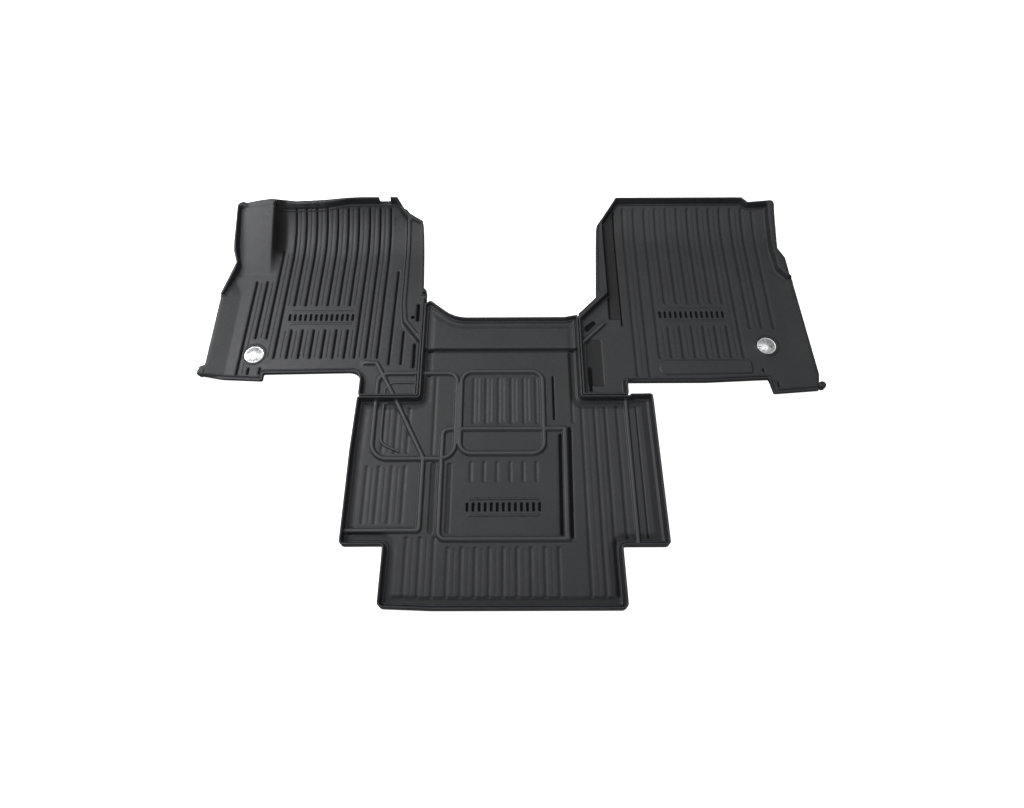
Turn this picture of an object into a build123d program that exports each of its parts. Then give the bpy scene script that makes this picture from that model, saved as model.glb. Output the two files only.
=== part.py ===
"""Three-piece moulded floor mat set for a heavy truck cab: driver mat with a foot rest, passenger mat,
and the centre mat that runs back between the seats, with one round medallion on each front mat.

Every outline is given in cab coordinates: x to the right of the centre mat's middle, y forward from the
centre mat's rear edge, z up from the cab floor. The ground and side planes shift them so that the
origin of the set is the middle of its footprint, on the floor.
"""

import os
from math import sqrt

from build123d import *

# whole set
MID_X = 17.0
MID_Y = 685.0
SET_HALF_WIDTH = 1000.0
FRONT_MATS_BACK = 500.0
SIDE_MARGIN = 120.0
END_MARGIN = 5.0

# sheet and rim
FLOOR = 7.0
SHEET = 4.0
RIM_TOP = 27.0
RIM_WALL = 5.0
THIN_LIP_TOP = FLOOR + 2.2
TALL = 150.0
BELOW = -5.0
JOINT_GAP = 2.0

# floor pattern
GROOVE_WIDTH = 7.0
GROOVE_DEPTH = 4.0
SLOT_DEPTH = 6.0
PATTERN_BASE = FLOOR - GROOVE_DEPTH / 2
BEAD_WIDTH = 17.0
BEAD_TOP = FLOOR + 7.0
SIDE_BEAD_WIDTH = 15.0
SIDE_BEAD_TOP = FLOOR + 6.0
PLAQUE_SLOTS = 13
PLAQUE_PITCH = 17.0
PLAQUE_SLOT = (26.0, 7.2)
PLAQUE_SLOT_DEPTH = 3.2
PLAQUE_RIB = (200.0, 6.0)
PLAQUE_RIB_SPACING = 48.0
PLAQUE_RIB_RISE = 1.4

# where the three mats meet
WING_FRONT_Y = 620.0
DRIVER_SEAM_X = -260.5
PASSENGER_SEAM_X = 237.0
SEAM_BACK = WING_FRONT_Y - JOINT_GAP / 2
SEAM_AHEAD = WING_FRONT_Y + JOINT_GAP / 2

# driver mat
DRIVER_FRONT_Y = 1350.0
DRIVER_TOE_Y = 1146.0
DRIVER_TOE_RADIUS = 325.0
DRIVER_PITCH = 36.1
DRIVER_LEAN = 1.0
SILL_CREASE_X = -869.0
SILL_EDGE_X = -930.0
SILL_EDGE_TOP = 20.0
SILL_Y = (650.0, 1006.0)
DRIVER_REAR_RIM_Y = (660.0, 730.0)
DRIVER_FRONT_RIM_Y = (1330.0, 1360.0)
LEDGE_X = -330.0
LEDGE_RECESS = 4.5
DRIVER_REAR_RIM_TOP = 13.0
FOOT_LEFT = -905.0
FOOT_HOLLOW_LEFT = -889.0
FOOT_RIGHT = -788.0
FOOT_BACK = 1091.0
FOOT_BASE = 2.0
FOOT_TOP = 92.0
FOOT_WALL_TOP = 99.0
FOOT_WALL_START = 12.0
NOTCH_LEFT = -427.0
NOTCH_RIGHT = -392.0
NOTCH_BOTTOM = 76.0

# passenger mat
PASSENGER_FRONT_Y = 1378.0
PASSENGER_TOE_Y = 1190.0
PASSENGER_TOE_RADIUS = 510.0
PASSENGER_PITCH = 37.7
PASSENGER_CREASE_X = 905.0
PASSENGER_SILL_SLOPE = 0.05
PASSENGER_REAR_RIM_TOP = 15.0
PASSENGER_SILL_Y = (600.0, 1066.0)
PASSENGER_REAR_RIM_Y = (600.0, 700.0)
FLANGE_RECESS = 3.0
HEEL_PAD_RISE = 3.0

# centre mat
CENTRE_PITCH = 38.0
FRONT_PANEL_Y = 790.0
FRONT_PANEL_TOP = FLOOR + 9.0
PANEL_LEAN = 1.2

# medallion: adhesive pad, metal disc and clear cover, one on top of the other
BADGE_RADIUS = 30.0
BADGE_POCKET_RADIUS = 31.5
BADGE_RING_RADIUS = 38.0
BADGE_RING_TOP = FLOOR + 2.5
POCKET_FLOOR = 4.5
PAD_INSET = 1.5
PAD_THICKNESS = 1.0
DISC_THICKNESS = 1.6
COVER_INSET = 1.0
COVER_HEIGHT = 2.2
COVER_ROUND = 1.76
DRIVER_BADGE = (-789.0, 778.0)
PASSENGER_BADGE = (831.0, 803.0)

# round pegs on the outer rear corners of the front mats
PEG_RADIUS = 11.5
PEG_HEIGHT = 22.0
PEG_ROUND = 5.0
DRIVER_PEG = (-938.0, 711.0)
PASSENGER_PEG = (972.0, 656.0)

ground = Plane(origin=(-MID_X, -MID_Y, 0))
side = Plane(origin=(-MID_X, -MID_Y, 0), x_dir=(0, 1, 0), z_dir=(1, 0, 0))
cross = Plane(origin=(-MID_X, -MID_Y, 0), x_dir=(1, 0, 0), z_dir=(0, -1, 0))

# Outlines: x, y and corner radius of each corner, counter-clockwise.
centre_outline = [
    (-333, -1, 16),
    (-190, -7, 150),
    (324, -8, 16),
    (322, 160, 8),
    (452, 160, 12),
    (449, 625, 9),
    (382, 624, 3),
    (379, SEAM_BACK, 2),
    (PASSENGER_SEAM_X - JOINT_GAP / 2, SEAM_BACK, 5),
    (PASSENGER_SEAM_X - JOINT_GAP / 2, 912, 6),
    (190, 903, 40),
    (-160, 903, 115),
    (-240, 970, 8),
    (DRIVER_SEAM_X + JOINT_GAP / 2, 956, 5),
    (DRIVER_SEAM_X + JOINT_GAP / 2, SEAM_BACK, 5),
    (-445, SEAM_BACK, 9),
    (-450, 440, 150),
    (-450, 165, 12),
    (-331, 165, 8),
]
driver_outline = [
    (-443, SEAM_AHEAD, 8),
    (DRIVER_SEAM_X - JOINT_GAP / 2, SEAM_AHEAD, 5),
    (DRIVER_SEAM_X - JOINT_GAP / 2, 972, 3),
    (-256, 978, 4),
    (-256, 1010, 6),
    (-268, 1022, 5),
    (-279, 1281, 5),
    (-323, 1304, 8),
    (-366, DRIVER_FRONT_Y, 6),
    (-800, DRIVER_FRONT_Y, 60),
    (-909, 1336, 14),
    (-910, 1190, 12),
    (-908, 1160, 6),
    (-896, 1120, 10),
    (-911, 1085, 10),
    (SILL_EDGE_X, 1002, 10),
    (SILL_EDGE_X, 735, 6),
    (-944, 727, 5),
    (-947, 697, 6),
    (-870, 689, 20),
    (-747, 683, 6),
    (-747, 707, 4),
    (-443, 712, 38),
]
passenger_outline = [
    (PASSENGER_SEAM_X + JOINT_GAP / 2, SEAM_AHEAD, 5),
    (376, SEAM_AHEAD, 8),
    (377, 672, 4),
    (620, 672, 0),
    (815, 681, 5),
    (823, 631, 6),
    (962, 642, 4),
    (974, 697, 10),
    (961, 1060, 3),
    (949, 1070, 6),
    (947, 1140, 12),
    (929, 1180, 12),
    (936, 1262, 20),
    (940, 1369, 14),
    (848, 1362, 6),
    (826, PASSENGER_FRONT_Y, 8),
    (387, PASSENGER_FRONT_Y, 8),
    (318, 1276, 8),
    (300, 981, 8),
    (PASSENGER_SEAM_X + JOINT_GAP / 2, 915, 5),
]

# Trays: the parts of each mat that lie at floor level, inside the rim.
driver_tray_outline = [
    (-438, SEAM_AHEAD + RIM_WALL, 4),
    (-266.5, SEAM_AHEAD + RIM_WALL, 3),
    (-266.5, 815, 6),
    (-321, 889, 20),
    (LEDGE_X, 960, 30),
    (LEDGE_X, 1292, 8),
    (-371, DRIVER_FRONT_Y - RIM_WALL, 5),
    (-530, DRIVER_FRONT_Y - RIM_WALL, 40),
    (-622, 1333, 40),
    (-800, 1330, 20),
    (FOOT_LEFT, 1322, 8),
    (FOOT_LEFT + 1, 1190, 10),
    (FOOT_LEFT + 4, 1160, 6),
    (FOOT_LEFT + 14, 1122, 8),
    (FOOT_LEFT + 7, FOOT_BACK + 3, 6),
    (SILL_CREASE_X, 1035, 20),
    (SILL_CREASE_X, 694, 0),
    (-752, 688, 6),
    (-752, 712, 4),
    (-438, 717, 42),
]
passenger_tray_outline = [
    (243, SEAM_AHEAD + RIM_WALL, 3),
    (371, SEAM_AHEAD + RIM_WALL, 4),
    (372, 677, 8),
    (620, 677, 0),
    (819, 686, 5),
    (828, 637, 4),
    (PASSENGER_CREASE_X, 643, 0),
    (PASSENGER_CREASE_X, 1060, 16),
    (919, 1100, 10),
    (914, 1180, 20),
    (919, 1361, 8),
    (845, 1357, 6),
    (823, PASSENGER_FRONT_Y - RIM_WALL, 6),
    (391, PASSENGER_FRONT_Y - RIM_WALL, 6),
    (337, 1295, 10),
    (337, 999, 10),
    (243, 899, 4),
]

# Tops of rims that run across the cab, as x and z.
driver_rear_rim = [
    (SILL_CREASE_X, THIN_LIP_TOP),
    (-752, THIN_LIP_TOP),
    (-752, DRIVER_REAR_RIM_TOP),
    (-482, DRIVER_REAR_RIM_TOP),
    (-441, RIM_TOP),
]
driver_front_rim = [(FOOT_LEFT, 95), (-800, 93), (-716, 80), (-617, 86), (-540, 96), (-465, 100)]
passenger_rear_rim = [
    (378, RIM_TOP),
    (390, PASSENGER_REAR_RIM_TOP),
    (822, PASSENGER_REAR_RIM_TOP),
    (822, THIN_LIP_TOP),
    (PASSENGER_CREASE_X, THIN_LIP_TOP),
]


def corner_loop(corners):
    """Closed loop of straight runs with rounded corners."""
    points = [(x, y) for x, y, radius in corners]
    FilletPolyline(*points, radius=[radius for x, y, radius in corners], close=True)


def toe_height(y, toe_y, radius):
    """Height of the underside, which lies flat and then curves up the toe board as an arc."""
    if y <= toe_y:
        return 0.0
    return radius - sqrt(radius**2 - (y - toe_y) ** 2)


def floor_band(toe_y, radius, end_y, low, high):
    """Everything between two heights above the underside, along the whole length of a front mat."""
    rise = toe_height(end_y, toe_y, radius)
    with BuildPart() as band:
        with BuildSketch(side.offset(-SET_HALF_WIDTH)):
            with BuildLine():
                Line((FRONT_MATS_BACK, low), (toe_y, low))
                RadiusArc((toe_y, low), (end_y, low + rise), -radius)
                Line((end_y, low + rise), (end_y, high + rise))
                RadiusArc((end_y, high + rise), (toe_y, high), radius)
                Line((toe_y, high), (FRONT_MATS_BACK, high))
                Line((FRONT_MATS_BACK, high), (FRONT_MATS_BACK, low))
            make_face()
        extrude(amount=2 * SET_HALF_WIDTH)
    return band.part


def prism(corners, bottom, top):
    """Upright block with the given outline."""
    with BuildPart() as block:
        with BuildSketch(ground.offset(bottom)):
            with BuildLine():
                corner_loop(corners)
            make_face()
        extrude(amount=top - bottom)
    return block.part


def side_block(points, x_from, x_to):
    """Block with a profile of y and z points, running across the cab from x_from to x_to."""
    with BuildPart() as block:
        with BuildSketch(side.offset(x_from)):
            with BuildLine():
                Polyline(*points, close=True)
            make_face()
        extrude(amount=x_to - x_from)
    return block.part


def cross_block(points, y_from, y_to):
    """Block with a profile of x and z points, running along the cab from y_from to y_to."""
    with BuildPart() as block:
        with BuildSketch(cross.offset(-y_to)):
            with BuildLine():
                Polyline(*points, close=True)
            make_face()
        extrude(amount=y_to - y_from)
    return block.part


def above_line(line, y_from, y_to):
    """Everything above a line of x and z points, running along the cab from y_from to y_to."""
    return cross_block(line + [(line[-1][0], TALL), (line[0][0], TALL)], y_from, y_to)


def grooves(runs, bottom, lean=0.0):
    """Round-ended groove cutters from bottom up, one for each x, y_from and y_to."""
    with BuildPart() as cutters:
        with BuildSketch(ground.offset(bottom)):
            for x, y_from, y_to in runs:
                with Locations(Location((x, (y_from + y_to) / 2, 0), (0, 0, 90 - lean))):
                    SlotOverall(y_to - y_from, GROOVE_WIDTH)
        extrude(amount=TALL)
    return cutters.part


def split_runs(xs, y_from, y_to, gaps):
    """One run for each x, broken where a gap of x_min, x_max, y_min and y_max crosses it."""
    runs = []
    for x in xs:
        start = y_from
        for x_min, x_max, y_min, y_max in gaps:
            if x_min < x < x_max:
                runs.append((x, start, y_min))
                start = y_max
        runs.append((x, start, y_to))
    return runs


def bead(path, radius, width=BEAD_WIDTH, top=BEAD_TOP):
    """Raised guide bead: a straight run, or a path with rounded corners."""
    with BuildPart() as ridge:
        with BuildSketch(ground.offset(PATTERN_BASE)):
            with BuildLine() as line:
                if len(path) == 2:
                    Line(*path)
                else:
                    FilletPolyline(*path, radius=radius)
            trace(line.wires(), line_width=width)
        extrude(amount=top - PATTERN_BASE)
    return ridge.part


def plaque_slots(x, y):
    """Cutters for a row of short upright slots."""
    with BuildPart() as cutters:
        with BuildSketch(ground.offset(FLOOR - PLAQUE_SLOT_DEPTH)):
            with Locations((x, y)):
                with GridLocations(PLAQUE_PITCH, 0, PLAQUE_SLOTS, 1):
                    SlotOverall(*PLAQUE_SLOT, rotation=90)
        extrude(amount=TALL)
    return cutters.part


def plaque_ribs(x, y):
    """Two thin ribs that frame a row of slots."""
    with BuildPart() as ribs:
        with BuildSketch(ground.offset(PATTERN_BASE)):
            with Locations((x, y)):
                with GridLocations(0, PLAQUE_RIB_SPACING, 1, 2):
                    SlotOverall(*PLAQUE_RIB)
        extrude(amount=FLOOR + PLAQUE_RIB_RISE - PATTERN_BASE)
    return ribs.part


def badge_ring(centre):
    """Raised ring that frames a medallion's pocket."""
    with BuildPart() as ring:
        with BuildSketch(ground.offset(PATTERN_BASE)):
            with Locations(centre):
                Circle(BADGE_RING_RADIUS)
        extrude(amount=BADGE_RING_TOP - PATTERN_BASE)
    return ring.part


def badge_pocket(centre):
    """Pocket that the medallion is stuck into."""
    with BuildPart() as pocket:
        with BuildSketch(ground.offset(POCKET_FLOOR)):
            with Locations(centre):
                Circle(BADGE_POCKET_RADIUS)
        extrude(amount=TALL)
    return pocket.part


def peg(x, y):
    """Round peg on a mat's outer rear corner."""
    with BuildPart() as post:
        with BuildSketch(ground):
            with Locations((x, y)):
                Circle(PEG_RADIUS)
        extrude(amount=PEG_HEIGHT)
        fillet(post.faces().sort_by(Axis.Z)[-1].edges(), radius=PEG_ROUND)
    return post.part


# ---- centre mat -------------------------------------------------------------------------------

LEFT_LOOP_X = -390.0
LOOP_BAR_X = -145.0
CONSOLE_LEFT_X = -132.0
CONSOLE_RIGHT_X = 117.0
PANEL_LEFT_X = -183.0
PANEL_RIGHT_X = 176.0
PLAQUE_CENTRE = (-3.0, 275.0)

rows = [-4 + CENTRE_PITCH * k for k in range(-7, 5)]
middle_rows = [-98 + CENTRE_PITCH * k for k in range(6)]
centre_runs = [(x, 26, 161) for x in rows if x > -178]
centre_runs += [(x, 26, 190) for x in rows if x < -178]
centre_runs += [(x, 26, 588) for x in (232, 271, 303)]
centre_runs += [(x, 350, 412) for x in middle_rows]
centre_runs += [(x + 4, 534, 690) for x in middle_rows]
centre_runs += [(x, 440, 590) for x in (-360, -323, -286)]
centre_runs += [(-211, 434, 694), (-205, 200, 410), (-159, 200, 408)]
centre_runs += [(x, 228, 400) for x in (-397, -362, -325, -288)]
centre_runs += [(338, 182, 592), (396, 182, 592), (204, 535, 780), (149, 545, 696)]
centre_grooves = grooves(centre_runs, FLOOR - GROOVE_DEPTH)
panel_slots = grooves([(162, 192, 500), (192, 184, 522)], FLOOR - SLOT_DEPTH, PANEL_LEAN)
console_path = [
    (CONSOLE_LEFT_X, 580),
    (CONSOLE_LEFT_X, 711),
    (CONSOLE_RIGHT_X, 711),
    (CONSOLE_RIGHT_X, 437),
    (CONSOLE_LEFT_X, 437),
    (CONSOLE_LEFT_X, 590),
]
loop_path = [(-257, 706), (LOOP_BAR_X, 706), (LOOP_BAR_X, 421), (LEFT_LOOP_X, 421), (LEFT_LOOP_X, 615)]
panel_path = [(PANEL_RIGHT_X, 516), (PANEL_LEFT_X, 516), (PANEL_LEFT_X, 183), (PANEL_RIGHT_X, 183)]
between_x = (LOOP_BAR_X + CONSOLE_LEFT_X) / 2
centre_beads = [
    bead([(-330, 613), (-237, 424), (-237, 208), (-446, 208)], 10),
    bead(loop_path, [30, 46, 50]),
    bead(console_path, [34, 34, 36, 34]),
    bead([(between_x, 470), (between_x, 665)], []),
    bead(panel_path, [20, 20]),
    bead([(PANEL_RIGHT_X - 3, 183), (PANEL_RIGHT_X + 3, 516)], []),
    bead([(367, 163), (367, 616)], [], SIDE_BEAD_WIDTH, SIDE_BEAD_TOP),
]

with BuildPart() as front_panel:
    add(
        prism(
            [(-270, FRONT_PANEL_Y, 0), (250, FRONT_PANEL_Y, 0), (250, 975, 0), (-270, 975, 0)],
            PATTERN_BASE,
            FRONT_PANEL_TOP,
        )
    )
    add(prism(centre_outline, 0, TALL), mode=Mode.INTERSECT)

with BuildPart() as centre_mat:
    add(prism(centre_outline, 0, RIM_TOP))
    with BuildSketch(ground.offset(FLOOR)):
        with BuildLine():
            corner_loop(centre_outline)
        make_face()
        offset(amount=-RIM_WALL)
    extrude(amount=TALL, mode=Mode.SUBTRACT)
    add(centre_grooves, mode=Mode.SUBTRACT)
    add(panel_slots, mode=Mode.SUBTRACT)
    add(plaque_slots(*PLAQUE_CENTRE), mode=Mode.SUBTRACT)
    add(front_panel.part)
    for ridge in centre_beads:
        add(ridge)
    add(plaque_ribs(*PLAQUE_CENTRE))
centre_mat.part.label = "centre_mat"

# ---- driver mat -------------------------------------------------------------------------------

driver_end = DRIVER_FRONT_Y + END_MARGIN
driver_toe = (DRIVER_TOE_Y, DRIVER_TOE_RADIUS, driver_end)
foot_slope = (FOOT_TOP - FLOOR) / (DRIVER_FRONT_Y - FOOT_BACK)
sill_slope = (SILL_EDGE_TOP - FLOOR) / (SILL_CREASE_X - SILL_EDGE_X)
far_left_x = SILL_EDGE_X - SIDE_MARGIN
far_left_rise = sill_slope * (SILL_CREASE_X - far_left_x)
wall_back = FOOT_BACK - FOOT_WALL_START
hollow_back = FOOT_BACK + FOOT_WALL_START
hollow_front = DRIVER_FRONT_Y - SHEET
foot_block = side_block(
    [(FOOT_BACK, FOOT_BASE), (FOOT_BACK, FLOOR), (DRIVER_FRONT_Y, FOOT_TOP), (DRIVER_FRONT_Y, FOOT_BASE)],
    FOOT_LEFT,
    FOOT_RIGHT,
)
foot_wall = side_block(
    [(wall_back, 0), (wall_back, RIM_TOP), (driver_end, FOOT_WALL_TOP), (driver_end, 0)],
    SILL_EDGE_X,
    FOOT_HOLLOW_LEFT,
)
above_foot_rest = side_block(
    [
        (FOOT_BACK, FLOOR),
        (driver_end, FLOOR + foot_slope * (driver_end - FOOT_BACK)),
        (driver_end, TALL),
        (FOOT_BACK, TALL),
    ],
    FOOT_HOLLOW_LEFT,
    FOOT_RIGHT,
)
foot_hollow = side_block(
    [
        (hollow_back, BELOW),
        (hollow_back, FLOOR + foot_slope * FOOT_WALL_START - SHEET),
        (hollow_front, FOOT_TOP - foot_slope * SHEET - SHEET),
        (hollow_front, BELOW),
    ],
    FOOT_HOLLOW_LEFT,
    FOOT_RIGHT - SHEET,
)
foot_room = prism(
    [
        (FOOT_HOLLOW_LEFT, FOOT_BACK, 0),
        (FOOT_RIGHT, FOOT_BACK, 0),
        (FOOT_RIGHT, DRIVER_FRONT_Y - RIM_WALL, 0),
        (-800, DRIVER_FRONT_Y - RIM_WALL, 0),
        (FOOT_HOLLOW_LEFT, 1327, 0),
    ],
    2 * BELOW,
    TALL,
)
sill_above = above_line(
    [(far_left_x, FLOOR + far_left_rise), (SILL_CREASE_X, FLOOR)],
    *SILL_Y,
)
sill_below = cross_block(
    [(SILL_CREASE_X, 0), (far_left_x, far_left_rise), (far_left_x, BELOW), (SILL_CREASE_X, BELOW)],
    *SILL_Y,
)
ledge_hollow = prism([(-326, 966, 0), (-274, 1026, 0), (-284, 1268, 0), (-326, 1288, 0)], BELOW, TALL)
ledge_top = prism(
    [
        (-269, 834, 4),
        (-269, 984, 5),
        (-277, 1003, 5),
        (-286, 1272, 5),
        (-320, 1288, 5),
        (-320, 962, 20),
        (-313, 896, 16),
    ],
    0,
    TALL,
)
rim_notch = above_line([(NOTCH_LEFT, NOTCH_BOTTOM), (NOTCH_RIGHT, NOTCH_BOTTOM)], *DRIVER_FRONT_RIM_Y)

driver_rows = [-829 + DRIVER_PITCH * k for k in range(14)]
driver_gaps = [(-705, -480, 872, 962)]
driver_plaque = (-594.0, 917.0)
driver_runs = [(driver_rows[0], 703, 1065)]
driver_runs += [(x, 836, 1065) for x in driver_rows[1:2]]
driver_runs += [(x, 836, 1130) for x in driver_rows[2:3]]
driver_runs += [(x - 5, 705, 731) for x in driver_rows[1:3]]
driver_runs += split_runs(driver_rows[3:13], 762, 1333, driver_gaps)
driver_runs += [(driver_rows[13], 738, 1105)]
driver_runs += [(-324, 738, 865)]
driver_runs += [(-285, 727, 817)]
driver_grooves = grooves(driver_runs, 0, DRIVER_LEAN)
driver_groove_air = floor_band(*driver_toe, FLOOR - GROOVE_DEPTH, TALL)
driver_beads = [
    bead([(-437, 744), (-399, 744), (-338, 627)], 10),
    bead([(-264, 706), (LEFT_LOOP_X, 706), (LEFT_LOOP_X, 623)], 34),
]

with BuildPart() as driver_cut:
    add(prism(driver_tray_outline, 0, TALL))
    add(floor_band(*driver_toe, FLOOR, TALL), mode=Mode.INTERSECT)

with BuildPart() as driver_groove_cut:
    add(driver_grooves)
    add(driver_groove_air, mode=Mode.INTERSECT)

with BuildPart() as ledge_recess:
    add(ledge_top)
    add(floor_band(*driver_toe, RIM_TOP - LEDGE_RECESS, TALL), mode=Mode.INTERSECT)

with BuildPart() as ledge_cut:
    add(ledge_hollow)
    add(floor_band(*driver_toe, BELOW, RIM_TOP - LEDGE_RECESS - SHEET), mode=Mode.INTERSECT)

with BuildPart() as foot_rest:
    add(foot_block)
    add(prism(driver_outline, 0, TALL), mode=Mode.INTERSECT)

with BuildPart() as foot_cut:
    add(foot_hollow)
    add(foot_room, mode=Mode.INTERSECT)

with BuildPart() as driver_mat:
    add(floor_band(*driver_toe, 0, RIM_TOP))
    add(foot_wall)
    add(prism(driver_outline, 0, TALL), mode=Mode.INTERSECT)
    add(driver_cut.part, mode=Mode.SUBTRACT)
    add(driver_groove_cut.part, mode=Mode.SUBTRACT)
    add(sill_above, mode=Mode.SUBTRACT)
    add(sill_below, mode=Mode.SUBTRACT)
    add(ledge_recess.part, mode=Mode.SUBTRACT)
    add(ledge_cut.part, mode=Mode.SUBTRACT)
    add(foot_rest.part)
    add(above_foot_rest, mode=Mode.SUBTRACT)
    add(foot_cut.part, mode=Mode.SUBTRACT)
    add(floor_band(*driver_toe, -TALL, 0), mode=Mode.SUBTRACT)
    add(rim_notch, mode=Mode.SUBTRACT)
    add(above_line(driver_rear_rim, *DRIVER_REAR_RIM_Y), mode=Mode.SUBTRACT)
    add(above_line(driver_front_rim, *DRIVER_FRONT_RIM_Y), mode=Mode.SUBTRACT)
    add(plaque_slots(*driver_plaque), mode=Mode.SUBTRACT)
    for ridge in driver_beads:
        add(ridge)
    add(plaque_ribs(*driver_plaque))
    add(badge_ring(DRIVER_BADGE))
    add(badge_pocket(DRIVER_BADGE), mode=Mode.SUBTRACT)
    add(peg(*DRIVER_PEG))
driver_mat.part.label = "driver_mat"

# ---- passenger mat ----------------------------------------------------------------------------

passenger_end = PASSENGER_FRONT_Y + END_MARGIN
passenger_toe = (PASSENGER_TOE_Y, PASSENGER_TOE_RADIUS, passenger_end)
far_right_x = PASSENGER_CREASE_X + SIDE_MARGIN
far_right_rise = SIDE_MARGIN * PASSENGER_SILL_SLOPE
crease_above = above_line(
    [(PASSENGER_CREASE_X, FLOOR), (far_right_x, FLOOR + far_right_rise)],
    *PASSENGER_SILL_Y,
)
flange_hollow = prism([(305, 1000, 0), (333, 1006, 0), (333, 1287, 0), (321, 1266, 0)], BELOW, TALL)
flange_top = prism([(308, 1000, 4), (331, 1006, 4), (331, 1284, 1), (323, 1268, 2)], 0, TALL)
heel_pad = prism(
    [(485, 698, 20), (772, 703, 10), (772, 750, 10), (485, 750, 24)], PATTERN_BASE, FLOOR + HEEL_PAD_RISE
)

passenger_rows = [413.4 + PASSENGER_PITCH * k for k in range(13)]
passenger_gaps = [(489, 725, 880, 966)]
passenger_plaque = (607.0, 923.0)
passenger_runs = [(x, 692, 1353) for x in passenger_rows[:2]]
passenger_runs += split_runs(passenger_rows[2:10], 758, 1353, passenger_gaps)
passenger_runs += [(x, 868, 1353) for x in passenger_rows[10:12]]
passenger_runs += [(passenger_rows[12], 868, 1340)]
passenger_runs += [(343, 905, 1290), (379, 880, 1345), (266, 641, 726)]
passenger_grooves = grooves(passenger_runs, 0)
passenger_groove_air = floor_band(*passenger_toe, FLOOR - GROOVE_DEPTH, TALL)

with BuildPart() as passenger_cut:
    add(prism(passenger_tray_outline, 0, TALL))
    add(floor_band(*passenger_toe, FLOOR, TALL), mode=Mode.INTERSECT)

with BuildPart() as passenger_groove_cut:
    add(passenger_grooves)
    add(passenger_groove_air, mode=Mode.INTERSECT)

with BuildPart() as flange_recess:
    add(flange_top)
    add(floor_band(*passenger_toe, RIM_TOP - FLANGE_RECESS, TALL), mode=Mode.INTERSECT)

with BuildPart() as flange_cut:
    add(flange_hollow)
    add(floor_band(*passenger_toe, BELOW, RIM_TOP - FLANGE_RECESS - SHEET), mode=Mode.INTERSECT)

with BuildPart() as passenger_mat:
    add(floor_band(*passenger_toe, 0, RIM_TOP))
    add(prism(passenger_outline, 0, TALL), mode=Mode.INTERSECT)
    add(passenger_cut.part, mode=Mode.SUBTRACT)
    add(passenger_groove_cut.part, mode=Mode.SUBTRACT)
    add(crease_above, mode=Mode.SUBTRACT)
    add(flange_recess.part, mode=Mode.SUBTRACT)
    add(flange_cut.part, mode=Mode.SUBTRACT)
    add(above_line(passenger_rear_rim, *PASSENGER_REAR_RIM_Y), mode=Mode.SUBTRACT)
    add(plaque_slots(*passenger_plaque), mode=Mode.SUBTRACT)
    add(heel_pad)
    add(bead([(247, 815), (319, 887)], []))
    add(plaque_ribs(*passenger_plaque))
    add(badge_ring(PASSENGER_BADGE))
    add(badge_pocket(PASSENGER_BADGE), mode=Mode.SUBTRACT)
    add(peg(*PASSENGER_PEG))
passenger_mat.part.label = "passenger_mat"

# ---- medallions -------------------------------------------------------------------------------


def badge_layer(centre, bottom, thickness, radius):
    """Flat round layer of a medallion."""
    with BuildPart() as layer:
        with BuildSketch(ground.offset(bottom)):
            with Locations(centre):
                Circle(radius)
        extrude(amount=thickness)
    return layer.part


def badge_cover(centre, bottom):
    """Clear cover: a disc whose top edge is rounded over."""
    with BuildPart() as cover:
        with BuildSketch(ground.offset(bottom)):
            with Locations(centre):
                Circle(BADGE_RADIUS - COVER_INSET)
        extrude(amount=COVER_HEIGHT)
        fillet(cover.faces().sort_by(Axis.Z)[-1].edges(), radius=COVER_ROUND)
    return cover.part


parts = [centre_mat.part, driver_mat.part, passenger_mat.part]
for seat, centre in (("driver", DRIVER_BADGE), ("passenger", PASSENGER_BADGE)):
    disc_bottom = POCKET_FLOOR + PAD_THICKNESS
    pad = badge_layer(centre, POCKET_FLOOR, PAD_THICKNESS, BADGE_RADIUS - PAD_INSET)
    pad.label = seat + "_badge_adhesive_pad"
    disc = badge_layer(centre, disc_bottom, DISC_THICKNESS, BADGE_RADIUS)
    disc.label = seat + "_badge_disc"
    cover = badge_cover(centre, disc_bottom + DISC_THICKNESS)
    cover.label = seat + "_badge_cover"
    parts += [pad, disc, cover]

os.makedirs("parts", exist_ok=True)
for part in parts:
    export_step(part, "parts/" + part.label + ".step")
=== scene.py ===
import math

import bmesh
import bpy
import numpy as np
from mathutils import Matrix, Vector
from mathutils.geometry import delaunay_2d_cdt


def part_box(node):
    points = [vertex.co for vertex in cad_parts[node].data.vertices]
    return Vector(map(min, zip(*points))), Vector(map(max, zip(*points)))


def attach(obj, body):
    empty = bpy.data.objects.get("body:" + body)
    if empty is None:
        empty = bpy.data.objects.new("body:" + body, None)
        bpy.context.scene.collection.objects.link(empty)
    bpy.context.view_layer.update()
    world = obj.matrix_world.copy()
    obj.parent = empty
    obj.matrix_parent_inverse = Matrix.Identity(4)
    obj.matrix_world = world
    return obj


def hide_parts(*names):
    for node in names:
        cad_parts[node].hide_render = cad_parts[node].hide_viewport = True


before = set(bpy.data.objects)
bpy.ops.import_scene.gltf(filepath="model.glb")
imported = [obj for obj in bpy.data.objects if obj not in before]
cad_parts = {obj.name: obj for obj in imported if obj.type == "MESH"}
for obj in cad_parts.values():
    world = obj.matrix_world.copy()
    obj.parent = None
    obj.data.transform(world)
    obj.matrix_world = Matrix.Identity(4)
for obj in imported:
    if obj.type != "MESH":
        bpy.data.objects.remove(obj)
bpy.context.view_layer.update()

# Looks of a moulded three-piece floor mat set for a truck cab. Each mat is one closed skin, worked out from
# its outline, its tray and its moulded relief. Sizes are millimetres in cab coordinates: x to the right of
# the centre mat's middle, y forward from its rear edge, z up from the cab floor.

# where the cab coordinates start, from the centre mat's own box
CENTRE_LEFT_X = -450.0
CENTRE_REAR_Y = -7.97
centre_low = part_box("centre_mat")[0]
CAB_X = centre_low.x * 1000 - CENTRE_LEFT_X
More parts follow.
